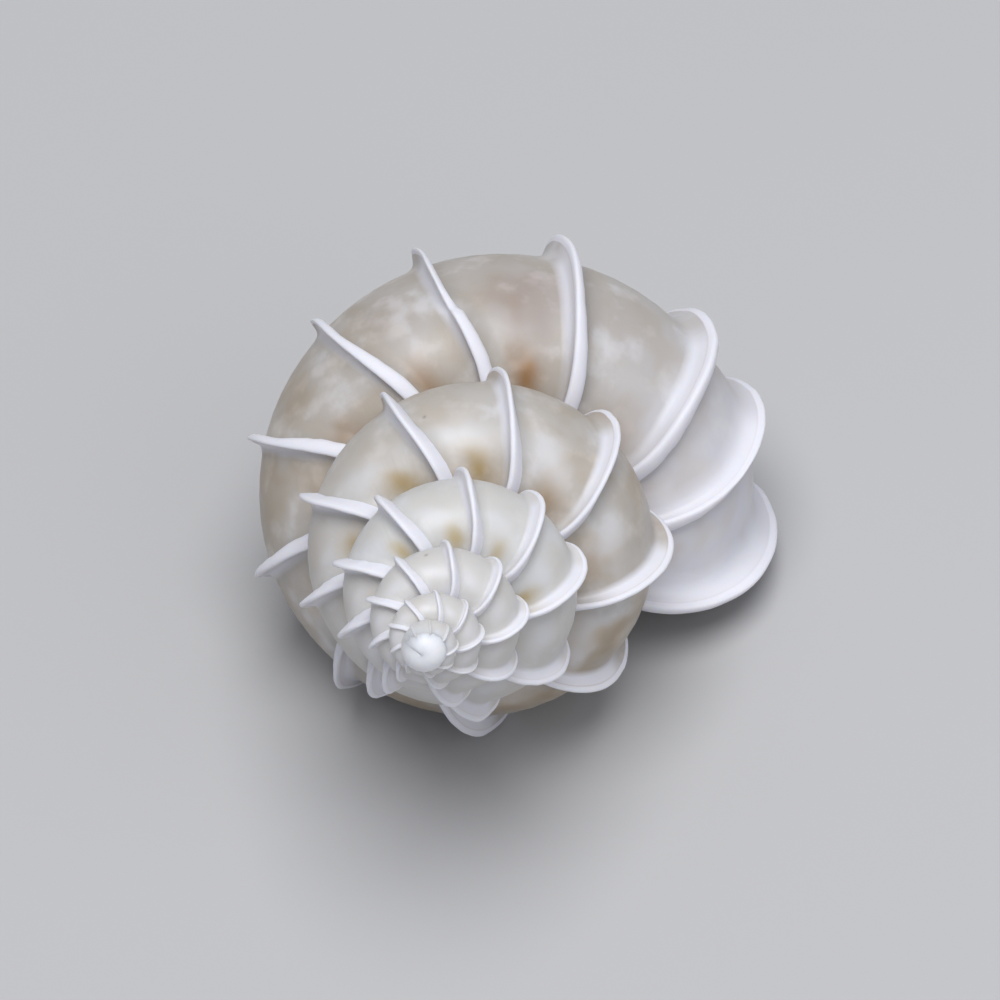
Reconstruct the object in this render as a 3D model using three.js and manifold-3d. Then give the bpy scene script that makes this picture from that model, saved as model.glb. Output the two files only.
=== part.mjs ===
// Wentletrap shell, lying mouth down on its lip and two of its ribs, apex lifted towards the viewer.
// One tube widens as it coils down a spiral without ever touching itself. Every rib is a former lip:
// it slopes up from its newer side to a thin edge and drops on its older side. The ribs bridge the
// narrow gap between the whorls, and the newest one is the rim of the round open mouth.
import * as THREE from "three";
import { mergeVertices } from "three/addons/utils/BufferGeometryUtils.js";
import Module from "manifold-3d";

// The spiral, in millimetres at the lip, and counted in whorls back from the lip
const whorlCount = 6.6;
const coilRadius = 4.88; // from the spiral's axis to the middle of the tube
const tubeRadius = 4.02;
const tubeTallness = 1.08; // the tube's height over its width
const climbPerWhorl = 8.87;
const shrinkRate = 0.332; // share of its size that the tube loses in a whorl, at the lip
const shrinkGrowth = 0.0436; // and how much that share grows with each whorl
const wallShare = 0.07; // thickness of the wall, as a share of the tube's radius
const hollowWhorls = 2.6; // how far back the living chamber is open
const hollowStart = -0.04; // the cut for it begins just outside the lip

// The ribs, as shares of the tube's radius
const ribReachMean = 0.09;
const ribReachSwing = 0.12; // added on the outside of the coil and taken off on the inside
const ribReachLeast = 0.055;
const ribEdge = 0.05; // thickness of the edge, along the tube
const ribSlope = 0.1; // length of the slope on the newer side
const ribDrop = 0.1; // length over which the older side falls to the tube
const dropMiddle = 0.25; // share of that length at which it is down to its middle reach
const dropMiddleReach = 0.25;
const ribSpread = 0.42; // a rib's older or newer side takes at most this share of the gap to the next
const oldRibThickening = 0.7; // ribs stay nearly as thick where the tube is smaller
const thickestRib = 2.6; // against the newest ribs
const pathShare = 0.75; // lengths along the tube are measured this share of its radius from its middle
const ribLeanUp = 0.033; // in whorls: how far the rib's upper end runs ahead of its middle
const ribLeanOut = -0.0237;
const lipThickening = 1.25;

// Degrees from each rib to the next older one, back from the lip
const ribSteps = [
  28, 22, 37, 33, 29, 32.2, 33.3, 35.5, 39, 41, 42, 42, 39, 38, 44, 38, 43, 42, 38, 48, 36, 37, 43,
  39, 38,
];
// How much wider than the spiral's rule the tube is at each of the newest ribs
const girths = [0, 0, -0.035, -0.02, 0.01, 0.03, 0.055, 0.06, 0.035, 0.01, -0.015];
// How tall each of the newest ribs is against the usual rib
const ribTallness = [1.15, 1, 1, 1.08, 0.95, 0.78, 0.86, 0.88, 0.92];
const olderRibStep = 40;
const firstRibTurn = 5.3; // older than this the shell is smooth

// How it lies, in degrees
const apexLift = 31.4;
const turnOnAxis = 91; // about its own axis, from the mouth's side
const mouthAngle = -24.1;

// Fineness of the faceting
const sidesByTurn = [
  [1.15, 20],
  [2.6, 16],
  [4.2, 12],
  [whorlCount, 8],
];
const middleRingsTo = 2.6; // newer than this, a ring stands midway between two ribs
const pieceTurns = 0.7; // a joined stretch of tube stays shorter than one whorl
const tipStepTurns = 0.1;
const hollowSides = 16;
const hollowStepTurns = 1 / 18;
const climbStrips = 48; // even, for the sum of the climb
const weldDistance = 1e-5;

const shellColour = 0xe9dfd0;
const fullTurn = 2 * Math.PI;
const wasm = await Module();
wasm.setup();

function sizeAt(turn) {
  return Math.exp(-(shrinkRate * turn + (shrinkGrowth * turn * turn) / 2));
}

// Height of the tube's middle below the apex: the climb summed by Simpson's rule
function heightAt(turn) {
  const width = (whorlCount - turn) / climbStrips;
  let sum = sizeAt(turn) + sizeAt(whorlCount);
  for (let i = 1; i < climbStrips; i++) sum += sizeAt(turn + i * width) * (i % 2 ? 4 : 2);
  return (-climbPerWhorl * sum * width) / 3;
}

// A point of the tube: around is 0 on the outside of the coil and a quarter turn at the apex side
function tubePoint(turn, around, reach) {
  const size = sizeAt(turn);
  const radius = size * (coilRadius + tubeRadius * reach * Math.cos(around));
  const height = heightAt(turn) + size * tubeRadius * tubeTallness * reach * Math.sin(around);
  const angle = turn * fullTurn;
  return new THREE.Vector3(radius * Math.cos(angle), radius * Math.sin(angle), height);
}

function ribReach(around) {
  return Math.max(ribReachMean + ribReachSwing * Math.cos(around), ribReachLeast);
}

// What one tube radius along the tube is in turns, at this side of it
function turnsPerRadius(around) {
  return tubeRadius / (fullTurn * (coilRadius + pathShare * tubeRadius * Math.cos(around)));
}

// A ring of points round the tube that leans as the ribs do: swell is the share of the rib's reach,
// and back is how far behind the rib the ring stands, in tube radii
function ring(rib, swell, sides, back = 0) {
  const points = [];
  for (let i = 0; i < sides; i++) {
    const around = (i * fullTurn) / sides;
    const turn = rib.turn + back * Math.min(turnsPerRadius(around), rib.mostTurns);
    const leaned = turn - ribLeanUp * Math.sin(around) - ribLeanOut * Math.cos(around);
    points.push(tubePoint(leaned, around, 1 + rib.girth + swell * rib.tallness * ribReach(around)));
  }
  return points;
}

function sidesAt(turn) {
  return sidesByTurn.find(([limit]) => turn <= limit)[1];
}

// Each rib's turn, back from the lip, with its girth, its height and its thickness
function allRibs() {
  const turns = [0];
  for (const step of ribSteps) turns.push(turns.at(-1) + step / 360);
  while (turns.at(-1) < firstRibTurn) turns.push(turns.at(-1) + olderRibStep / 360);
  return turns.map((turn, i) => {
    const thickness = Math.min(sizeAt(turn) ** -oldRibThickening, thickestRib);
    const gaps = [turns[i + 1] - turn, turn - turns[i - 1]].filter(Number.isFinite);
    const mostTurns = (ribSpread * Math.min(...gaps)) / (thickness * (ribSlope + ribEdge));
    const [girth, tallness] = [girths[i] ?? 0, ribTallness[i] ?? 1];
    return { turn, girth, tallness, thickness, mostTurns, isLip: i === 0 };
  });
}

// The rings of one rib, from the foot of its slope back to where its older side meets the tube
function ribRings(rib, next) {
  const sides = sidesAt(rib.turn);
  const edge = (rib.thickness * ribEdge) / 2;
  const front = edge * (rib.isLip ? lipThickening : 1);
  const rings = rib.isLip ? [] : [ring(rib, 0, sides, -edge - ribSlope * rib.thickness)];
  rings.push(ring(rib, 1, sides, -front));
  rings.push(ring(rib, 1, sides, edge));
  rings.push(ring(rib, dropMiddleReach, sides, edge + dropMiddle * ribDrop));
  rings.push(ring(rib, 0, sides, edge + ribDrop));
  const [turn, girth] = [(rib.turn + next.turn) / 2, (rib.girth + next.girth) / 2];
  if (turn < middleRingsTo) rings.push(ring({ ...rib, turn, girth }, 0, sides));
  return rings;
}

// The rings of the whole tube, grouped into stretches that each stay shorter than one whorl
function tubeStretches() {
  const ribs = allRibs();
  const stretches = [[]];
  let started = 0;
  ribs.slice(0, -1).forEach((rib, i) => {
    stretches.at(-1).push(...ribRings(rib, ribs[i + 1]));
    if (ribs[i + 1].turn - started > pieceTurns) {
      stretches.push([stretches.at(-1).at(-1)]);
      started = rib.turn;
    }
  });
  const last = ribs.at(-1);
  for (let turn = last.turn; turn < whorlCount; turn += tipStepTurns)
    stretches.at(-1).push(ring({ ...last, turn }, 0, sidesAt(turn)));
  return stretches;
}

// The inner surface of the tube, from just outside the lip to the end of the hollow
function hollowStretches() {
  const reach = 1 - wallShare;
  const stretches = [[]];
  let started = hollowStart;
  for (let turn = started; turn < hollowWhorls; turn += hollowStepTurns) {
    const points = [];
    for (let i = 0; i < hollowSides; i++) {
      const around = (i * fullTurn) / hollowSides;
      const leaned = turn - ribLeanUp * Math.sin(around) - ribLeanOut * Math.cos(around);
      points.push(tubePoint(leaned, around, reach));
    }
    stretches.at(-1).push(points);
    if (turn - started > pieceTurns) {
      stretches.push([points]);
      started = turn;
    }
  }
  return stretches;
}

function middleOf(points) {
  const sum = points.reduce((total, point) => total.add(point), new THREE.Vector3());
  return sum.divideScalar(points.length);
}

// Triangles between two rings, stepping along whichever ring is behind
function bridge(first, second, add) {
  let a = 0;
  let b = 0;
  while (a < first.length || b < second.length) {
    const stepFirst = (a + 1) / first.length <= (b + 1) / second.length;
    if (stepFirst) {
      add(first[a % first.length], second[b % second.length], first[(a + 1) % first.length]);
      a += 1;
    } else {
      add(first[a % first.length], second[b % second.length], second[(b + 1) % second.length]);
      b += 1;
    }
  }
}

// A closed skin over rings that run back along the tube
function skin(rings) {
  const corners = [];
  const add = (...points) => points.forEach((point) => corners.push(point.x, point.y, point.z));
  for (let i = 1; i < rings.length; i++) bridge(rings[i - 1], rings[i], add);
  const [start, end] = [rings[0], rings.at(-1)];
  const [startMiddle, endMiddle] = [middleOf(start), middleOf(end)];
  start.forEach((point, i) => add(point, start[(i + 1) % start.length], startMiddle));
  end.forEach((point, i) => add(end[(i + 1) % end.length], point, endMiddle));
  const geometry = new THREE.BufferGeometry();
  return geometry.setAttribute("position", new THREE.Float32BufferAttribute(corners, 3));
}

function solidOf(geometry) {
  const merged = mergeVertices(geometry, weldDistance);
  return new wasm.Manifold(
    new wasm.Mesh({
      numProp: 3,
      vertProperties: merged.attributes.position.array,
      triVerts: new Uint32Array(merged.index.array),
    }),
  );
}

function joined(stretches) {
  const solids = stretches.filter((rings) => rings.length > 1).map((rings) => solidOf(skin(rings)));
  return solids.reduce((whole, solid) => whole.add(solid));
}

function geometryOf(solid) {
  const mesh = solid.getMesh();
  const geometry = new THREE.BufferGeometry();
  geometry.setAttribute("position", new THREE.BufferAttribute(mesh.vertProperties, 3));
  geometry.setIndex(new THREE.BufferAttribute(mesh.triVerts, 1));
  return geometry.toNonIndexed();
}

// Lays the shell down and sets it on the ground over the origin
function laidDown(geometry) {
  const radians = THREE.MathUtils.degToRad;
  geometry.rotateZ(radians(mouthAngle + turnOnAxis - 90));
  geometry.rotateX(radians(90 - apexLift));
  geometry.computeBoundingBox();
  const { min, max } = geometry.boundingBox;
  return geometry.translate(-(min.x + max.x) / 2, -(min.y + max.y) / 2, -min.z);
}

function makeShell() {
  const solid = joined(tubeStretches()).subtract(joined(hollowStretches()));
  const geometry = laidDown(geometryOf(solid));
  geometry.computeVertexNormals();
  const material = new THREE.MeshStandardMaterial({
    color: shellColour,
    roughness: 0.4,
    metalness: 0,
    side: THREE.DoubleSide,
  });
  const shell = new THREE.Mesh(geometry, material);
  shell.name = "shell";
  return shell;
}

const wentletrap = new THREE.Group();
wentletrap.add(makeShell());

export default wentletrap;
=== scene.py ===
import math
import random
import bpy
import bmesh
from mathutils import Matrix, Vector


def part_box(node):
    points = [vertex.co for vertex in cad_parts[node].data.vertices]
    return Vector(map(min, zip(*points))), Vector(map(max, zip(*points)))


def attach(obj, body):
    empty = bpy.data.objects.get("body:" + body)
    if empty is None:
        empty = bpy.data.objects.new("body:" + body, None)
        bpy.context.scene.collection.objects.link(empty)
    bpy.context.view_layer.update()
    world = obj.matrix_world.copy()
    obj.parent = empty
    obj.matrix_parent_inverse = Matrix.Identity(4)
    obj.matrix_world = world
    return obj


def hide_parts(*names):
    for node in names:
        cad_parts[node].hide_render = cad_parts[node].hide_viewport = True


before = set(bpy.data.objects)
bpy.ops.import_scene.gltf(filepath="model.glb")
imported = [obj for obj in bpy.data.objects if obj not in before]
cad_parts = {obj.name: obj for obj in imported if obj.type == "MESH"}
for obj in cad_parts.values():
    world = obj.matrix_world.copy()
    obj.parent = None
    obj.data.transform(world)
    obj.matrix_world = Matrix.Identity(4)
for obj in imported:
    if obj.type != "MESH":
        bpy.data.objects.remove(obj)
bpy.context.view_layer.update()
print("frame loaded")

mm = 0.001
tau = 2 * math.pi


# Sums inside a node tree, written out as sums. They work in geometry and shader trees alike.

class Sum:
    def __init__(self, tree, socket):
        self.tree = tree
        self.socket = socket

    def calc(self, operation, *others):
        return calc(self.tree, operation, self, *others)

    def __add__(self, other): return self.calc("ADD", other)
    def __radd__(self, other): return self.calc("ADD", other)
    def __sub__(self, other): return self.calc("SUBTRACT", other)
    def __rsub__(self, other): return calc(self.tree, "SUBTRACT", other, self)
    def __mul__(self, other): return self.calc("MULTIPLY", other)
    def __rmul__(self, other): return self.calc("MULTIPLY", other)
    def __truediv__(self, other): return self.calc("DIVIDE", other)
    def __pow__(self, other): return self.calc("POWER", other)
    def __neg__(self): return self.calc("MULTIPLY", -1.0)


def plug(tree, socket, value):
    if isinstance(value, Sum):
        tree.links.new(value.socket, socket)
    elif isinstance(value, bpy.types.NodeSocket):
        tree.links.new(value, socket)
    elif socket.type == "INT":
        socket.default_value = int(value)
    else:
        socket.default_value = value


def calc(tree, operation, *values):
    node = tree.nodes.new("ShaderNodeMath")
    node.operation = operation
    for socket, value in zip(node.inputs, values):
        plug(tree, socket, value)
    return Sum(tree, node.outputs[0])


def vector(tree, x, y, z):
    node = tree.nodes.new("ShaderNodeCombineXYZ")
    for socket, value in zip(node.inputs, (x, y, z)):
        plug(tree, socket, value)
    return Sum(tree, node.outputs[0])


def noise(tree, place, scale, detail=2.0, w=None):
    node = tree.nodes.new("ShaderNodeTexNoise")
    node.noise_dimensions = "3D" if w is None else "4D"
    plug(tree, node.inputs["Vector"], place)
    if w is not None:
        plug(tree, node.inputs["W"], w)
    node.inputs["Scale"].default_value = scale
    node.inputs["Detail"].default_value = detail
    return Sum(tree, node.outputs["Fac"])


def ramp(tree, value, low, high, start=0.0, end=1.0):
    node = tree.nodes.new("ShaderNodeMapRange")
    node.interpolation_type = "SMOOTHSTEP"
    for name, given in zip(("Value", "From Min", "From Max", "To Min", "To Max"),
                           (value, low, high, start, end)):
        plug(tree, node.inputs[name], given)
    return Sum(tree, node.outputs[0])


def bell(value, width):  # 1 where value is 0, dying out over width
    return calc(value.tree, "EXPONENT", -(value * value) / (width * width))


def sineOf(value): return value.calc("SINE")
def cosineOf(value): return value.calc("COSINE")
def rootOf(value): return value.calc("SQRT")
def powerOfE(value): return value.calc("EXPONENT")
def wholeOf(value): return value.calc("FLOOR")
def atLeast(value, least): return value.calc("MAXIMUM", least)
def atMost(value, most): return value.calc("MINIMUM", most)


def mixed(first, second, share):
    return first + (second - first) * share


def newSocket(tree, name, kind, value=None, out=False):
    socket = tree.interface.new_socket(name, in_out="OUTPUT" if out else "INPUT",
                                       socket_type=kind)
    if value is not None:
        socket.default_value = value


def groupInputs(tree):
    given = tree.nodes.new("NodeGroupInput")
    return {socket.name: Sum(tree, socket) for socket in given.outputs if socket.name}


# The shell's shape. Turns are counted in whorls back from the lip. A side of the tube is in
# degrees round it, from its outermost line towards the apex.

wentletrap = {
    "spiral": {                                 # lengths are those at the lip
        "whorls": 6.6,
        "coilRadius": 4.88 * mm,
        "tubeRadius": 4.02 * mm,
        "tallness": 1.08,
        "climb": 8.84 * mm,
        "shrink": 0.332,
        "shrinkGrowth": 0.0436,
        "knobTurn": 4.9,                        # older than this the tube swells into the knob
        "knobLength": 0.5,
        "knobSwell": 0.2,
        "capTurn": 5.58,                        # here it has closed over its axis, as a cap
        "capStarts": 0.5,                       # the cap starts so many turns before that
        "capWhole": 0.12,                       # and is whole so many turns before it
        "capTube": 1.56,
        "capCentre": 0.28,
    },
    "ribs": {
        "steps": [28, 22, 37, 33, 29, 32.2, 33.3, 35.5, 39, 41, 42, 42, 39, 38, 44, 38, 43, 42,
                  38, 48, 36, 37, 43, 39, 38],  # degrees from each rib to the next older one
        "olderStep": 40,
        "girth": [0, 0, -0.035, -0.02, 0.01, 0.03, 0.055, 0.06, 0.035, 0.01, -0.015],
        "tall": [1.15, 1, 1, 1.08, 0.95, 0.78, 0.86, 0.88, 0.92],
        "thick": [1.3, 0.75, 1.55, 1.1, 0.9, 0.74, 0.74, 0.95],
        "bow": [0, 0, 0.009],                   # how far its middle hangs back, in turns
        "usualBow": 0.0068,
        "bowRounding": 1.4,
        "firstTurn": 5.3,                       # older than this the shell is smooth
        "smoothSteps": 4,
        "fadingRibs": 4,
        "lowerFrom": 2.9,                       # older than this they get lower
        "lowering": 0.3,
        "lowest": 0.5,
        "reachMean": 0.09,                      # beyond the tube, as a share of its radius
        "reachSwing": 0.12,
        "reachLeast": 0.055,
        "leanUp": 0.033,
        "leanOut": -0.0237,
        "foot": 0.06,                           # length of the front slope, in tube radii
        "edge": 0.033,                          # thickness of the edge
        "hollow": 0.1,                          # length of the hollow behind the edge
        "newHollows": [2.2, 2.2],               # so many times as long behind the newest ribs
        "gapUse": 0.42,                         # most of a gap that one rib's foot may take
        "footMargin": 0.06,
        "oldThickening": 1.0,                   # blades stay as thick where the tube is smaller
        "thickest": 2.7,
        "oldShoulder": 0.09,                    # and stand taller on the shoulder
        "rimThickness": 0.85,                   # at the rim of the whorl
        "sutureExtra": 0.55,                    # and so much more where they meet the one before
        "sutureStart": 0.45,
        "flatUntil": 0.95,                      # the newest ribs have flat tops
        "flatFading": 0.4,
        "nicked": 4,                            # this rib was broken and mended
        "nickAt": 43,
        "nickDepth": 0.7,
        "nickWidth": 0.05,
        "mendThinning": 0.4,                    # from the nick to the rim
        "wobble": 0.0012,                       # of its edge, in turns
        "waver": 4.0,
        "waveScale": 1.3,                       # of its height and thickness along one rib
        "waveHeight": 0.3,
        "waveThickness": 0.4,
        "nibbleScale": 7.0,
        "nibbleHeight": 0.12,
        "nibbleThickness": 0.35,
        "seed": 4,
    },
    "wall": {
        "share": 0.07,                          # of the tube's radius
        "hollow": 2.6,                          # whorls that are open inside
        "flare": 0.4,                           # of the inside towards the rim
        "flareLength": 0.01,
        "tipLength": 0.12,                      # of the rounded ends, in turns
        "hollowTipLength": 0.1,
        "unevenness": 0.02,
        "rimRows": 10,
        "innerRows": 80,
        "innerCrowding": 1.25,                  # rows stand closer near the rim
        "pointsAround": 92,
        "weld": 0.0002 * mm,
    },
    "lying": {"apexLift": 31.4, "turnOnAxis": 91.0, "mouthAngle": -24.1},
    # Stains in the gap behind each rib: how strong, and where along the gap. Blotches sit against
    # the whorl before, clouds on the shoulder. Gaps that aren't listed are drawn by chance.
    "stains": {
        "blotch": {0: (0.1, 0.5), 1: (0.1, 0.5), 2: (0.15, 0.3), 3: (1.0, 0.5), 4: (0.7, 0.75),
                   5: (0.5, 0.8), 6: (0.3, 0.5), 9: (0.2, 0.5), 10: (0.3, 0.4),
                   11: (0.45, 0.47), 12: (0.6, 0.49), 13: (1.0, 0.48), 14: (0.95, 0.42),
                   15: (0.85, 0.43), 16: (0.7, 0.3), 20: (0.95, 0.2), 21: (0.7, 0.48),
                   22: (0.9, 0.3), 23: (0.9, 0.31)},
        "cloud": {0: (0.0, 0.5), 1: (0.05, 0.5), 2: (0.3, 0.72), 3: (0.9, 0.33), 4: (0.6, 0.65),
                  5: (0.6, 0.73), 6: (0.8, 0.53), 9: (0.9, 0.62), 10: (0.9, 0.28),
                  11: (0.3, 0.5), 12: (0.2, 0.5), 13: (0.1, 0.5), 14: (0.2, 0.4),
                  15: (0.3, 0.4)},
        "chanceStrength": (0.1, 0.5),
        "chancePlace": (0.3, 0.6),
        "chanceEnds": 4,                        # no chance stains older than this
        "seed": 11,
    },
}
spiral, ribs, wall, lying, stains = wentletrap.values()


def sizeAt(turn):
    return math.exp(-(spiral["shrink"] * turn + spiral["shrinkGrowth"] * turn * turn / 2))


def listed(values, n, otherwise):
    return values[n] if n < len(values) else otherwise


def between(value, least, most):
    return max(least, min(most, value))


def ribTurns():
    # Where each rib stands, then the rows of the smooth tip, and the number of the last rib
    turns = [0.0]
    for step in ribs["steps"]:
        turns.append(turns[-1] + step / 360)
    while turns[-1] < ribs["firstTurn"]:
        turns.append(turns[-1] + ribs["olderStep"] / 360)
    start, last = turns[-1], len(turns) - 1
    for n in range(1, ribs["smoothSteps"] + 1):
        turns.append(start + (spiral["whorls"] - start) * n / ribs["smoothSteps"])
    return turns, last


def ribMarks():
    # One for each rib: where it is, its size against the usual rib, and the stains behind it
    chance = random.Random(stains["seed"])
    turns, last = ribTurns()
    marks = []
    for n, turn in enumerate(turns):
        fading = between((last + 1 - n) / ribs["fadingRibs"], 0.0, 1.0)
        lower = between(1.0 - (turn - ribs["lowerFrom"]) * ribs["lowering"], ribs["lowest"], 1.0)
        thickening = min(sizeAt(turn) ** -ribs["oldThickening"], ribs["thickest"])
        strength = chance.uniform(*stains["chanceStrength"])
        strength = strength * max(0.0, 1 - turn / stains["chanceEnds"])
        drawn = (strength, chance.uniform(*stains["chancePlace"]))
        blotch = stains["blotch"].get(n, drawn)
        cloud = stains["cloud"].get(n, drawn)
        marks.append({
            "turn": turn,
            "tall": listed(ribs["tall"], n, 1.0) * fading * lower,
            "thick": thickening * listed(ribs["thick"], n, 1.0),
            "girth": listed(ribs["girth"], n, 0.0),
            "bow": listed(ribs["bow"], n, ribs["usualBow"]),
            "hollow": listed(ribs["newHollows"], n, 1.0),
            "flat": between((ribs["flatUntil"] - turn) / ribs["flatFading"], 0.0, 1.0),
            "nick": ribs["nickDepth"] if n == ribs["nicked"] else 0.0,
            "blotch": blotch[0], "blotchAt": blotch[1],
            "cloud": cloud[0], "cloudAt": cloud[1],
        })
    return marks


def ribSection():
    # From the middle of one rib's edge back to the next older one's
    edge, hollow, foot = ribs["edge"] / 2, ribs["hollow"], ribs["foot"]
    rows = []

    def add(share, back, fall=0.0, height=0.0, flat=0.0, white=0.0, behind=0.0):
        rows.append({
            "share": share,                 # along the gap between the two ribs
            "back": back,                   # towards the apex, in tube radii
            "fall": fall,                   # the same, in the hollow behind the edge
            "height": height,               # of a sloping blade, as a share of its reach
            "flat": flat,                   # of a flat-topped one
            "white": white,                 # on the edge and its front slope
            "behind": behind,               # on the side that faces the apex
        })

    for part, high in ((0.0, 1.0), (0.7, 0.96), (0.98, 0.84)):
        add(0.0, edge * part, height=high, flat=high, white=1.0)
    for part, high, behind in ((0.03, 0.62, 1.0), (0.1, 0.38, 1.0), (0.25, 0.19, 1.0),
                               (0.52, 0.07, 0.6), (1.0, 0.0, 0.0)):
        add(0.0, edge, fall=hollow * part, height=high, flat=high, behind=behind)
    for part in (0.18, 0.38, 0.58, 0.78):   # the bare tube between the ribs
        add(part, edge - (2 * edge + foot) * part, fall=hollow * (1 - part))
    for part, high, flat, white in ((1.0, 0.0, 0.0, 0.0), (0.95, 0.04, 0.36, 1.0),
                                    (0.84, 0.13, 0.66, 1.0), (0.45, 0.55, 0.86, 1.0),
                                    (0.04, 0.94, 0.97, 1.0)):
        add(1.0, -edge - foot * part, height=high, flat=flat, white=white)
    add(1.0, -0.7 * edge, height=0.985, flat=0.985, white=1.0)
    return rows


def pointsObject(name, rows):
    # A point for each row of numbers, which it carries as named attributes
    mesh = bpy.data.meshes.new(name)
    mesh.from_pydata([(i, 0, 0) for i in range(len(rows))], [], [])
    for key in rows[0]:
        column = mesh.attributes.new(key, "FLOAT", "POINT")
        column.data.foreach_set("value", [row[key] for row in rows])
    made = bpy.data.objects.new(name, mesh)
    bpy.context.scene.collection.objects.link(made)
    return made


# The law of the spiral: where a point of the tube is

def spiralGroup():
    tree = bpy.data.node_groups.new("spiralPoint", "GeometryNodeTree")
    for name in ("Turn", "Around", "Reach"):
        newSocket(tree, name, "NodeSocketFloat", 1.0)
    for name, value in spiral.items():
        newSocket(tree, name, "NodeSocketFloat", value)
    newSocket(tree, "Position", "NodeSocketVector", out=True)
    get = groupInputs(tree)
    turn, around, reach = get["Turn"], get["Around"], get["Reach"]
    shrink, growth = get["shrink"], get["shrinkGrowth"]
    knob = ramp(tree, turn, get["knobTurn"], get["knobTurn"] + get["knobLength"])
    cap = ramp(tree, turn, get["capTurn"] - get["capStarts"], get["capTurn"] - get["capWhole"])
    held = atMost(turn, get["capTurn"])
    size = powerOfE(-(held * (shrink + held * growth * 0.5)))
    rate = shrink + growth * held
    height = -4.0 * get["climb"] * size / (3.0 * rate + rootOf(rate * rate + 8.0 * growth))
    swell = 1.0 + get["knobSwell"] * knob
    centre = get["coilRadius"] * mixed(1.0, get["capCentre"], cap)
    across = get["tubeRadius"] * reach * mixed(1.0, get["capTube"], cap)
    radius = size * swell * (centre + across * cosineOf(around))
    rise = size * swell * across * get["tallness"] * sineOf(around)
    angle = turn * tau
    place = vector(tree, radius * cosineOf(angle), radius * sineOf(angle), height + rise)
    out = tree.nodes.new("NodeGroupOutput")
    plug(tree, out.inputs["Position"], place)
    return tree


def sampled(tree, geometry, index, name):
    # A named attribute of one point of a geometry, by the point's number
    named = tree.nodes.new("GeometryNodeInputNamedAttribute")
    named.data_type = "FLOAT"
    named.inputs["Name"].default_value = name
    node = tree.nodes.new("GeometryNodeSampleIndex")
    node.data_type = "FLOAT"
    node.clamp = True
    plug(tree, node.inputs["Geometry"], geometry)
    plug(tree, node.inputs["Value"], named.outputs["Attribute"])
    plug(tree, node.inputs["Index"], index)
    return Sum(tree, node.outputs[0])


def pointCount(tree, geometry):
    node = tree.nodes.new("GeometryNodeAttributeDomainSize")
    plug(tree, node.inputs[0], geometry)
    return Sum(tree, node.outputs["Point Count"])


def store(tree, geometry, values):
    for name, value in values.items():
        node = tree.nodes.new("GeometryNodeStoreNamedAttribute")
        node.data_type = "FLOAT"
        node.domain = "POINT"
        node.inputs["Name"].default_value = name
        plug(tree, node.inputs["Geometry"], geometry)
        plug(tree, node.inputs["Value"], value)
        geometry = node.outputs[0]
    return geometry


def strip(tree, rows, get):
    # A grid with a row for each ring of the tube, and the row and angle of each of its points
    grid = tree.nodes.new("GeometryNodeMeshGrid")
    columns = get["pointsAround"] + 1.0
    plug(tree, grid.inputs["Vertices X"], rows)
    plug(tree, grid.inputs["Vertices Y"], columns)
    index = Sum(tree, tree.nodes.new("GeometryNodeInputIndex").outputs[0])
    row = wholeOf((index + 0.5) / columns)
    around = (index - row * columns) / get["pointsAround"] * tau + math.pi
    return grid.outputs["Mesh"], row, around


def tubePoints(tree, mesh, turn, around, radial, law, get):
    # Sends each point of a strip to its place on the spiral
    group = tree.nodes.new("GeometryNodeGroup")
    group.node_tree = law
    plug(tree, group.inputs["Turn"], turn)
    plug(tree, group.inputs["Around"], around)
    plug(tree, group.inputs["Reach"], radial)
    for name in spiral:
        plug(tree, group.inputs[name], get[name])
    node = tree.nodes.new("GeometryNodeSetPosition")
    plug(tree, node.inputs["Geometry"], mesh)
    plug(tree, node.inputs["Position"], group.outputs["Position"])
    return node.outputs[0]


def leaned(turn, around, bow, share, get):
    # A rib's plane is turned a little from the tube's section; share is 0 where a tube ends
    lean = get["leanUp"] * sineOf(around) + get["leanOut"] * cosineOf(around)
    middle = atLeast(sineOf(around), 0.0) * atLeast(cosineOf(around), 0.0) * 2.0
    return turn - (lean - bow * middle ** ribs["bowRounding"]) * share


def roundedEnd(turn, end, length):
    # 1 along the tube, falling to 0 at its end the way a dome does, just before its last row
    share = (turn - (end - length)) / (length * 0.999)
    return rootOf(1.0 - atMost(atLeast(share, 0.0), 1.0) ** 2.0)


def circleOf(tree, around):
    return vector(tree, cosineOf(around), sineOf(around), 0.0)


def bladeNoises(tree, around, ribNumber, get):
    # A slow wave and a fine nibble along one rib
    circle = circleOf(tree, around)
    return (noise(tree, circle, ribs["waveScale"], 2.0, w=ribNumber * 7.31 + get["seed"]) - 0.5,
            noise(tree, circle, ribs["nibbleScale"], 3.0, w=ribNumber * 3.17 + get["seed"]) - 0.5)


def tubeNoise(tree, around, turn):
    swell = noise(tree, circleOf(tree, around), 0.9, 1.0, w=turn * 5.0) - 0.5
    return swell * wall["unevenness"]


def bladeReach(around, tall, thick, noises, get):
    wave, nibble = noises
    reach = atLeast(get["reachMean"] + get["reachSwing"] * cosineOf(around), get["reachLeast"])
    shoulder = get["oldShoulder"] * (thick - 1.0) * atLeast(sineOf(around + 0.5), 0.0)
    uneven = 1.0 + wave * ribs["waveHeight"] + nibble * ribs["nibbleHeight"]
    return (reach + shoulder) * tall * uneven


def turnsPerRadius(around, get):
    # What one tube radius along the tube is in turns, at this side of it
    fromAxis = get["coilRadius"] + get["tubeRadius"] * cosineOf(around) * 0.75
    return get["tubeRadius"] / (fromAxis * tau)


def sutureThick(around, thick):
    # Young blades are thin at the rim of the whorl and broad where they meet the whorl before
    nearSuture = ramp(around.tree, sineOf(around), ribs["sutureStart"], 1.0)
    return ribs["rimThickness"] + ribs["sutureExtra"] * nearSuture / (thick * thick)


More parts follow.
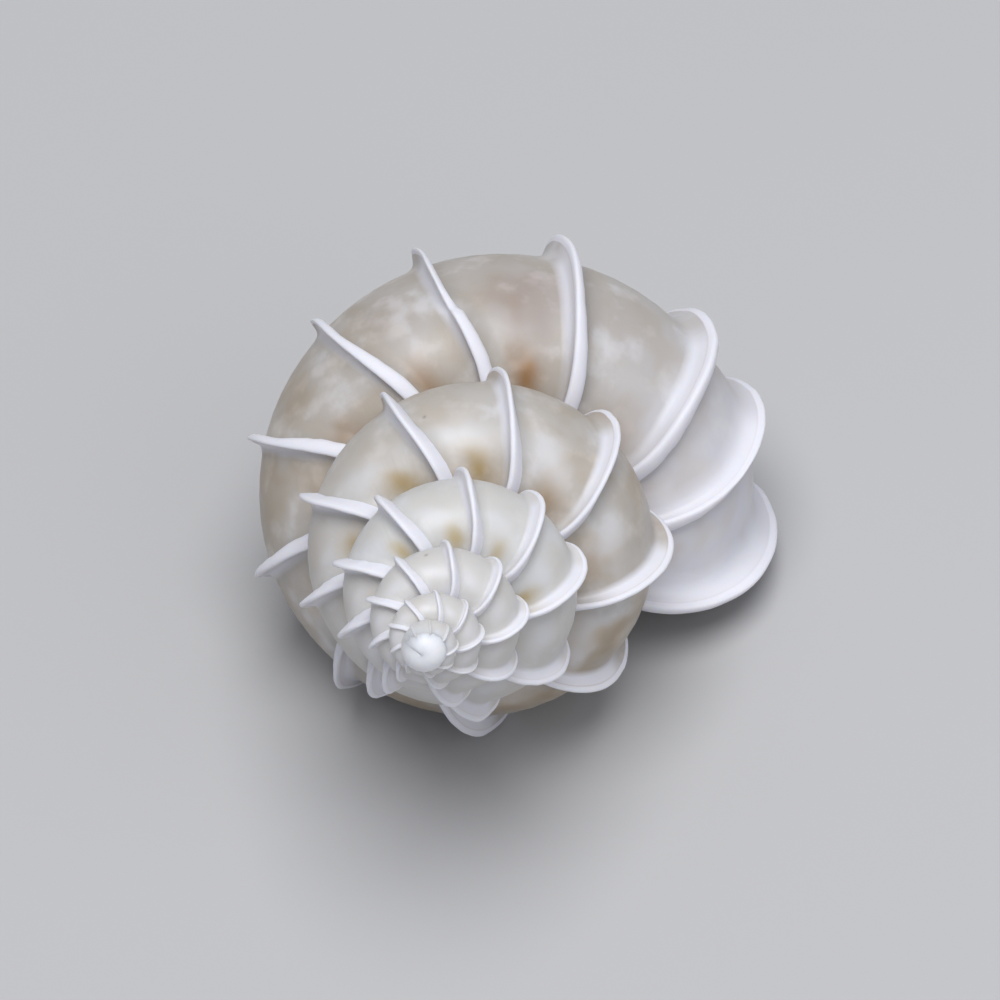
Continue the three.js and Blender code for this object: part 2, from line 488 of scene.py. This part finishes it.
def outerSkin(tree, get, law):
    # The tube and its ribs: every rib has the rows of the section behind it
    marks, section = get["Geometry"], get["sectionPoints"]
    perRib = pointCount(tree, section)
    rows = (pointCount(tree, marks) - 1.0) * perRib + 1.0
    mesh, row, around = strip(tree, rows, get)
    rib = wholeOf((row + 0.5) / perRib)
    line = row - rib * perRib
    back, fall, height, flat, share, white, behind = [
        sampled(tree, section, line, name)
        for name in ("back", "fall", "height", "flat", "share", "white", "behind")]

    def ofRib(name):
        return mixed(sampled(tree, marks, rib, name), sampled(tree, marks, rib + 1.0, name), share)

    turn, tall, thickness, nick = [ofRib(name) for name in ("turn", "tall", "thick", "nick")]
    gap = sampled(tree, marks, rib + 1.0, "turn") - sampled(tree, marks, rib, "turn")
    noises = bladeNoises(tree, around, rib + wholeOf(share + 0.5), get)
    wave, nibble = noises
    nearRib = (share * 2.0 - 1.0).calc("ABSOLUTE")

    fromNick = around - (tau + math.radians(ribs["nickAt"]))
    rimward = ramp(tree, fromNick, 0.02, -0.02) * ramp(tree, fromNick, -2.2, -1.2) * nick
    blade = bladeReach(around, tall, thickness, noises, get)
    blade = blade * (1.0 - bell(fromNick, ribs["nickWidth"]) * nick)
    blade = blade * mixed(height, flat, ofRib("flat"))

    uneven = 1.0 + nibble * ribs["nibbleThickness"] + wave * ribs["waveThickness"]
    thick = thickness * sutureThick(around, thickness) * uneven
    thick = thick * (1.0 - rimward * ribs["mendThinning"])
    backward = back * thick + fall * ofRib("hollow")
    widest = gap * ribs["gapUse"] / (get["foot"] * thick + ribs["footMargin"])
    scale = atMost(turnsPerRadius(around, get), widest)
    dome = roundedEnd(turn, get["whorls"], wall["tipLength"])
    wobble = (wave * ribs["waver"] + rimward) * nearRib * get["wobble"]
    turnHere = turn + (backward * scale + wobble) * dome
    turnHere = leaned(turnHere, around, ofRib("bow"), dome, get)
    radial = (1.0 + ofRib("girth") + blade + tubeNoise(tree, around, turn)) * dome

    mesh = store(tree, mesh, {name: sampled(tree, marks, rib, name)
                              for name in ("blotch", "blotchAt", "cloud", "cloudAt")})
    mesh = store(tree, mesh, {
        "turn": turnHere,
        "upward": sineOf(around),
        "outward": cosineOf(around),
        "white": white * atMost(tall, 1.0),
        "behind": behind * atMost(tall, 1.0),
        "gapShare": share,
        "inside": 0.0,
    })
    return tubePoints(tree, mesh, turnHere, around, radial, law, get)


def innerSkin(tree, get, law):
    # Round the rim from the top of the newest rib, and back along the inside of the wall
    marks, rimRows = get["Geometry"], get["rimRows"]
    tall, thick = [sampled(tree, marks, 0, name) for name in ("tall", "thick")]
    mesh, row, around = strip(tree, get["innerRows"], get)
    rim = atMost(row / rimRows, 1.0)
    inward = atLeast(row - rimRows, 0.0) / (get["innerRows"] - 1.0 - rimRows)
    turn = get["hollow"] * inward ** wall["innerCrowding"]
    noises = bladeNoises(tree, around, 0.0, get)
    blade = bladeReach(around, tall, thick, noises, get)
    bulge = sineOf(rim * math.pi) * get["foot"] * thick
    forward = bulge * turnsPerRadius(around, get)
    dome = roundedEnd(turn, get["hollow"], wall["hollowTipLength"])
    ripple = noises[0] * get["wobble"] * ribs["waver"] * powerOfE(-(turn / 0.02))
    turnHere = leaned(turn - forward + ripple, around, 0.0, dome, get)
    flared = wall["flare"] * blade * powerOfE(-(turn / wall["flareLength"]))
    inner = 1.0 - get["share"] + flared
    sweep = 0.5 - 0.5 * cosineOf(rim * math.pi)
    radial = mixed(1.0 + blade, inner, sweep) + tubeNoise(tree, around, turn)
    mesh = store(tree, mesh, {
        "turn": turnHere,
        "upward": sineOf(around),
        "outward": cosineOf(around),
        "white": 1.0 - ramp(tree, sweep, 0.5, 1.0),
        "behind": 0.0,
        "gapShare": 0.0,
        "inside": sweep,
    })
    placed = tubePoints(tree, mesh, turnHere, around, radial * dome, law, get)
    flip = tree.nodes.new("GeometryNodeFlipFaces")
    plug(tree, flip.inputs[0], placed)
    return flip.outputs[0]


def shellTree():
    law = spiralGroup()
    tree = bpy.data.node_groups.new("wentletrapShell", "GeometryNodeTree")
    newSocket(tree, "Geometry", "NodeSocketGeometry")
    newSocket(tree, "Section", "NodeSocketObject")
    for name, value in spiral.items():
        newSocket(tree, name, "NodeSocketFloat", value)
    for name in ("reachMean", "reachSwing", "reachLeast", "leanUp", "leanOut", "foot", "wobble",
                 "oldShoulder", "seed"):
        newSocket(tree, name, "NodeSocketFloat", ribs[name])
    for name in ("share", "hollow"):
        newSocket(tree, name, "NodeSocketFloat", wall[name])
    for name in ("rimRows", "innerRows", "pointsAround"):
        newSocket(tree, name, "NodeSocketInt", wall[name])
    newSocket(tree, "Turned", "NodeSocketVector")
    newSocket(tree, "Material", "NodeSocketMaterial")
    newSocket(tree, "Mesh", "NodeSocketGeometry", out=True)
    get = groupInputs(tree)
    info = tree.nodes.new("GeometryNodeObjectInfo")
    plug(tree, info.inputs["Object"], get["Section"])
    get["sectionPoints"] = Sum(tree, info.outputs["Geometry"])

    join = tree.nodes.new("GeometryNodeJoinGeometry")
    tree.links.new(outerSkin(tree, get, law), join.inputs[0])
    tree.links.new(innerSkin(tree, get, law), join.inputs[0])
    weld = tree.nodes.new("GeometryNodeMergeByDistance")
    plug(tree, weld.inputs["Geometry"], join.outputs[0])
    weld.inputs["Distance"].default_value = wall["weld"]
    turned = tree.nodes.new("GeometryNodeTransform")
    plug(tree, turned.inputs["Geometry"], weld.outputs[0])
    plug(tree, turned.inputs["Rotation"], get["Turned"])
    smooth = tree.nodes.new("GeometryNodeSetShadeSmooth")
    plug(tree, smooth.inputs["Geometry"], turned.outputs[0])
    real = tree.nodes.new("GeometryNodeRealizeInstances")
    plug(tree, real.inputs[0], smooth.outputs[0])
    painted = tree.nodes.new("GeometryNodeSetMaterial")
    plug(tree, painted.inputs["Geometry"], real.outputs[0])
    plug(tree, painted.inputs["Material"], get["Material"])
    out = tree.nodes.new("NodeGroupOutput")
    plug(tree, out.inputs["Mesh"], painted.outputs[0])
    return tree


def setInputs(modifier, values):
    sockets = {item.name: item.identifier for item in modifier.node_group.interface.items_tree
               if item.item_type == "SOCKET" and item.in_out == "INPUT"}
    for name, value in values.items():
        modifier[sockets[name]] = value


def lyingTurn():
    about = math.radians(lying["mouthAngle"] + lying["turnOnAxis"] - 90)
    tilt = math.radians(90 - lying["apexLift"])
    return Matrix.Rotation(tilt, 3, "X") @ Matrix.Rotation(about, 3, "Z")


def placeInBox(mesh, box):
    # The shift that centres the mesh in the frame's box and stands it on the same floor
    points = [vertex.co for vertex in mesh.vertices]
    low = Vector([min(point[i] for point in points) for i in range(3)])
    high = Vector([max(point[i] for point in points) for i in range(3)])
    shift = (box[0] + box[1] - low - high) / 2
    shift.z = box[0].z - low.z
    return shift


def makeShell(material):
    marks = pointsObject("ribMarks", ribMarks())
    section = pointsObject("ribSection", ribSection())
    modifier = marks.modifiers.new("shell", "NODES")
    modifier.node_group = shellTree()
    setInputs(modifier, {"Section": section, "Turned": lyingTurn().to_euler(),
                         "Material": material})
    bpy.context.view_layer.update()
    graph = bpy.context.evaluated_depsgraph_get()
    mesh = bpy.data.meshes.new_from_object(marks.evaluated_get(graph),
                                           preserve_all_data_layers=True, depsgraph=graph)
    for helper in (marks, section):
        bpy.data.objects.remove(helper)
    shape = bmesh.new()
    shape.from_mesh(mesh)
    bmesh.ops.recalc_face_normals(shape, faces=shape.faces)
    shape.to_mesh(mesh)
    openEdges = sum(not edge.is_manifold for edge in shape.edges)
    volume = shape.calc_volume(signed=True) / mm ** 3
    shape.free()
    mesh.transform(Matrix.Translation(placeInBox(mesh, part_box("shell"))))
    mesh.name = "wentletrapShell"
    made = bpy.data.objects.new("wentletrapShell", mesh)
    bpy.context.scene.collection.objects.link(made)
    print("shell:", len(mesh.vertices), "points", len(mesh.polygons), "faces", openEdges,
          "open edges", round(volume, 1), "mm3")
    return made


# Shell material: a cream tube with fawn and orange-brown stains, and chalk-white ribs, with a
# painted highlight on each whorl's crest and painted shade in the tan on the tube's underside

shellLook = {
    "tube": (0.47, 0.445, 0.42),
    "mouthEnd": (0.66, 0.66, 0.72),         # the last gaps before the lip are lavender-white
    # crest white: for pale patches, and for the crest patch that is partly the shell's white and
    # partly a painted highlight
    "crestWhiteAndSheen": (0.7, 0.7, 0.73),
    "spire": (0.62, 0.61, 0.6),
    "knob": (0.86, 0.86, 0.9),
    "rib": (0.79, 0.79, 0.86),
    "ribBack": (0.76, 0.76, 0.82),
    "inside": (0.66, 0.6, 0.54),
    "speck": (0.2, 0.17, 0.15),
    "mauveTint": (0.76, 0.66, 0.64),        # tints multiply what is under them
    # tan also darkens the underside of the last whorls, partly the shell's brown and partly
    # painted shade
    "tanTint": (0.78, 0.68, 0.53),
    "fawnTint": (0.84, 0.74, 0.6),
    "blotchTint": (0.66, 0.42, 0.22),
    "ochreTint": (0.74, 0.6, 0.34),
    "blotchSize": (0.24, 15.0),             # along the gap as a share of it, and in degrees
    "blotchSide": 78,
    "cloudSize": (0.42, 24.0),
    "cloudSide": 33,
    # the crest patch: partly the shell's own white, partly a painted highlight where the overhead
    # light falls
    "crestSize": (0.36, 16.0),
    "crestSide": 54.0,
    "crestPlace": 0.55,
    "specks": [(3.334, 17, 0.004, 3.0), (1.35, 33, 0.0018, 1.4)],  # turn, side, half widths
    "speckStrength": 0.6,
    "driftScale": 0.8,                      # of the noises, in 1/mm
    "fineScale": 2.2,
    "fawnScale": 0.55,
    "grainScale": 14.0,
    "tubeRoughness": 0.4,
    "ribRoughness": 0.58,
    "unevenGloss": 0.12,
    "gloss": 0.4,
    "milkiness": 0.35,
    "milkyDepth": 0.5 * mm,
    "milkyRed": (1.0, 0.75, 0.55),
    "growthLines": 0.3,
    "linesPerTurn": 190.0,
    "grain": 0.25,
    "bumpStrength": 0.5,
    "bumpHeight": 0.04 * mm,
}


def attribute(tree, name):
    node = tree.nodes.new("ShaderNodeAttribute")
    node.attribute_name = name
    return Sum(tree, node.outputs["Fac"])


def colourMix(tree, share, first, second, blend="MIX"):
    node = tree.nodes.new("ShaderNodeMix")
    node.data_type = "RGBA"
    node.blend_type = blend
    node.clamp_factor = True
    plug(tree, node.inputs["Factor"], share)
    for socket, value in ((node.inputs[6], first), (node.inputs[7], second)):
        if isinstance(value, tuple):
            socket.default_value = (*value, 1)
        else:
            tree.links.new(value, socket)
    return node.outputs[2]


def placeInMm(tree):
    coordinates = tree.nodes.new("ShaderNodeTexCoord")
    node = tree.nodes.new("ShaderNodeVectorMath")
    node.operation = "SCALE"
    tree.links.new(coordinates.outputs["Object"], node.inputs[0])
    node.inputs["Scale"].default_value = 1 / mm
    return Sum(tree, node.outputs["Vector"])


def shellMaterial():
    material = bpy.data.materials.new("wentletrapShell")
    material.use_nodes = True
    tree = material.node_tree
    shader = tree.nodes["Principled BSDF"]
    look = shellLook

    place = placeInMm(tree)
    turn, share, white, behind, upward, outward, inside = [
        attribute(tree, name)
        for name in ("turn", "gapShare", "white", "behind", "upward", "outward", "inside")]
    side = upward.calc("ARCTAN2", outward) * (180 / math.pi)
    drift = noise(tree, place, look["driftScale"], 1.0) - 0.5
    fine = noise(tree, place, look["fineScale"], 2.0) - 0.5
    shareHere = share + drift * 0.35

    def spot(at, size, around):             # a soft spot in the gap behind a rib
        return bell(shareHere - at, size[0]) * bell(around, size[1])

    blotch = spot(attribute(tree, "blotchAt"), look["blotchSize"],
                  side - look["blotchSide"] + fine * 12.0) * attribute(tree, "blotch")
    cloud = spot(attribute(tree, "cloudAt"), look["cloudSize"],
                 side - look["cloudSide"] + drift * 40.0) * attribute(tree, "cloud")
    # Painted highlight: a whitish patch on each whorl's crest, facing the overhead light; partly
    # the shell's own white clouds, partly painted sheen
    crestWhiteAndSheen = spot(look["crestPlace"], look["crestSize"], side - look["crestSide"] + drift * 24.0)
    crestWhiteAndSheen = crestWhiteAndSheen * ramp(tree, turn, 0.45, 1.1, 0.3, 1.0)

    # The tube, from the lip to the spire, with a painted highlight on each whorl's crest
    colour = colourMix(tree, ramp(tree, turn, 0.24, 0.06), look["tube"], look["mouthEnd"])
    colour = colourMix(tree, ramp(tree, turn, 0.8, 2.2), colour, look["spire"])
    pale = ramp(tree, drift + fine * 0.5, -0.05, 0.3) * 0.6
    colour = colourMix(tree, pale, colour, look["crestWhiteAndSheen"])
    colour = colourMix(tree, crestWhiteAndSheen * 0.85, colour, look["crestWhiteAndSheen"])

    # Stains: mauve clouds near the lip and tan ones further back, fawn all over, then blotches.
    # The tan also holds painted shade on the tube's underside
    mauve = ramp(tree, turn, 0.5, 0.3)
    colour = colourMix(tree, cloud * mauve * 0.8, colour, look["mauveTint"], "MULTIPLY")
    # Painted shade: tan deepening towards the tube's underside on the last whorls, partly the
    # shell's own brown; then a tan band next to the suture
    low = ramp(tree, side, 24.0, -30.0) * ramp(tree, turn, 0.2, 0.6) * 0.6
    low = low + bell(side - 96.0, 24.0) * 0.5
    tan = atMost(cloud * (1.0 - mauve) + low * ramp(tree, turn, 2.0, 1.2), 1.0)
    colour = colourMix(tree, tan, colour, look["tanTint"], "MULTIPLY")
    fawn = ramp(tree, noise(tree, place, look["fawnScale"], 2.0), 0.42, 0.66)
    fawn = fawn * ramp(tree, turn, 1.7, 0.9, 0.15, 1.0) * ramp(tree, turn, 0.2, 0.75, 0.35, 0.8)
    colour = colourMix(tree, fawn, colour, look["fawnTint"], "MULTIPLY")
    stain = colourMix(tree, ramp(tree, turn, 1.1, 1.3), look["blotchTint"], look["ochreTint"])
    colour = colourMix(tree, blotch, colour, stain, "MULTIPLY")
    for atTurn, atSide, long, wide in look["specks"]:
        speck = bell(turn - atTurn, long) * bell(side - atSide, wide)
        colour = colourMix(tree, speck * look["speckStrength"], colour, look["speck"])

    # The knob, the ribs' older faces and edges, and the inside
    colour = colourMix(tree, ramp(tree, turn, 5.2, 5.7), colour, look["knob"])
    onBack = behind * ramp(tree, side, -8.0, 10.0, 0.2, 1.0)
    onBack = onBack * ramp(tree, side, 80.0, 45.0, 0.3, 1.0)
    colour = colourMix(tree, onBack, colour, look["ribBack"])
    onEdge = ramp(tree, white, 0.25, 0.6)
    colour = colourMix(tree, onEdge, colour, look["rib"])
    colour = colourMix(tree, ramp(tree, inside, 0.6, 1.0), colour, look["inside"])
    tree.links.new(colour, shader.inputs["Base Color"])

    rougher = onEdge * (look["ribRoughness"] - look["tubeRoughness"])
    rough = look["tubeRoughness"] + rougher + fine * look["unevenGloss"]
    plug(tree, shader.inputs["Roughness"], rough)
    shader.inputs["Specular IOR Level"].default_value = look["gloss"]
    shader.inputs["Subsurface Weight"].default_value = look["milkiness"]
    shader.inputs["Subsurface Radius"].default_value = look["milkyRed"]
    shader.inputs["Subsurface Scale"].default_value = look["milkyDepth"]

    along = vector(tree, turn * look["linesPerTurn"], upward * 1.6, outward * 1.6)
    lines = noise(tree, along, 1.0, 3.0) * (1.0 - onEdge * 0.7) * ramp(tree, turn, 4.8, 3.6)
    grain = noise(tree, place, look["grainScale"], 3.0)
    height = lines * look["growthLines"] + grain * look["grain"] * (0.35 + onEdge)
    bump = tree.nodes.new("ShaderNodeBump")
    bump.inputs["Strength"].default_value = look["bumpStrength"]
    bump.inputs["Distance"].default_value = look["bumpHeight"]
    plug(tree, bump.inputs["Height"], height)
    tree.links.new(bump.outputs["Normal"], shader.inputs["Normal"])
    return material


shell = makeShell(shellMaterial())
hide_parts("shell")
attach(shell, "root")
print("shell made")


# Floor, light and camera

studio = {
    "floorColour": (0.5, 0.5, 0.51),
    "floorRoughness": 0.7,
    "floorSize": 0.6,
    "sky": (0.9, 0.93, 1.0),
    "skyStrength": 0.32,
    "lamps": [
        {"name": "keyLight", "at": (0.02, -0.06, 0.4), "size": 0.3, "power": 1.36},
        {"name": "fillLight", "at": (0.3, -0.2, 0.25), "size": 0.4, "power": 0.25},
    ],
}


def makeFloor():
    mesh = bpy.data.meshes.new("floor")
    shape = bmesh.new()
    bmesh.ops.create_grid(shape, x_segments=1, y_segments=1, size=studio["floorSize"])
    shape.to_mesh(mesh)
    shape.free()
    floor = bpy.data.objects.new("floor", mesh)
    bpy.context.scene.collection.objects.link(floor)
    material = bpy.data.materials.new("paleFloor")
    material.use_nodes = True
    shader = material.node_tree.nodes["Principled BSDF"]
    shader.inputs["Base Color"].default_value = (*studio["floorColour"], 1)
    shader.inputs["Roughness"].default_value = studio["floorRoughness"]
    mesh.materials.append(material)


def makeLights():
    world = bpy.data.worlds.new("studio")
    bpy.context.scene.world = world
    world.use_nodes = True
    background = world.node_tree.nodes["Background"]
    background.inputs["Color"].default_value = (*studio["sky"], 1)
    background.inputs["Strength"].default_value = studio["skyStrength"]
    for lamp in studio["lamps"]:
        light = bpy.data.lights.new(lamp["name"], "AREA")
        light.shape = "DISK"
        light.size = lamp["size"]
        light.energy = lamp["power"]
        made = bpy.data.objects.new(lamp["name"], light)
        made.location = lamp["at"]
        made.rotation_euler = (-Vector(lamp["at"])).to_track_quat("-Z", "Y").to_euler()
        bpy.context.scene.collection.objects.link(made)


photoView = {
    "azimuth": 9.82,
    "elevation": 48.64,
    "roll": 5.37,                 # of the picture's upright, towards the right
    "distance": 259.55 * mm,
    "aim": Vector((1.498, -6.947, 17.026)) * mm,
    "lens": 295.2,
    "sensor": 36,
    "nearest": 0.01,
    "farthest": 20,
}


def makeCamera():
    lens = bpy.data.cameras.new("camera")
    lens.lens = photoView["lens"]
    lens.sensor_width = photoView["sensor"]
    lens.clip_start = photoView["nearest"]
    lens.clip_end = photoView["farthest"]
    camera = bpy.data.objects.new("camera", lens)
    azimuth, elevation, roll = [math.radians(photoView[name])
                                for name in ("azimuth", "elevation", "roll")]
    toward = Vector((-math.sin(azimuth) * math.cos(elevation),
                     math.cos(azimuth) * math.cos(elevation), -math.sin(elevation)))
    level = toward.cross(Vector((0, 0, 1))).normalized()
    right = level * math.cos(roll) - level.cross(toward) * math.sin(roll)
    up = right.cross(toward)
    turn = Matrix((right, up, -toward)).transposed()
    place = photoView["aim"] - toward * photoView["distance"]
    camera.matrix_world = Matrix.Translation(place) @ turn.to_4x4()
    bpy.context.scene.collection.objects.link(camera)
    bpy.context.scene.camera = camera


makeFloor()
makeLights()
makeCamera()
bpy.context.scene.view_settings.view_transform = "Standard"
print("stage set")
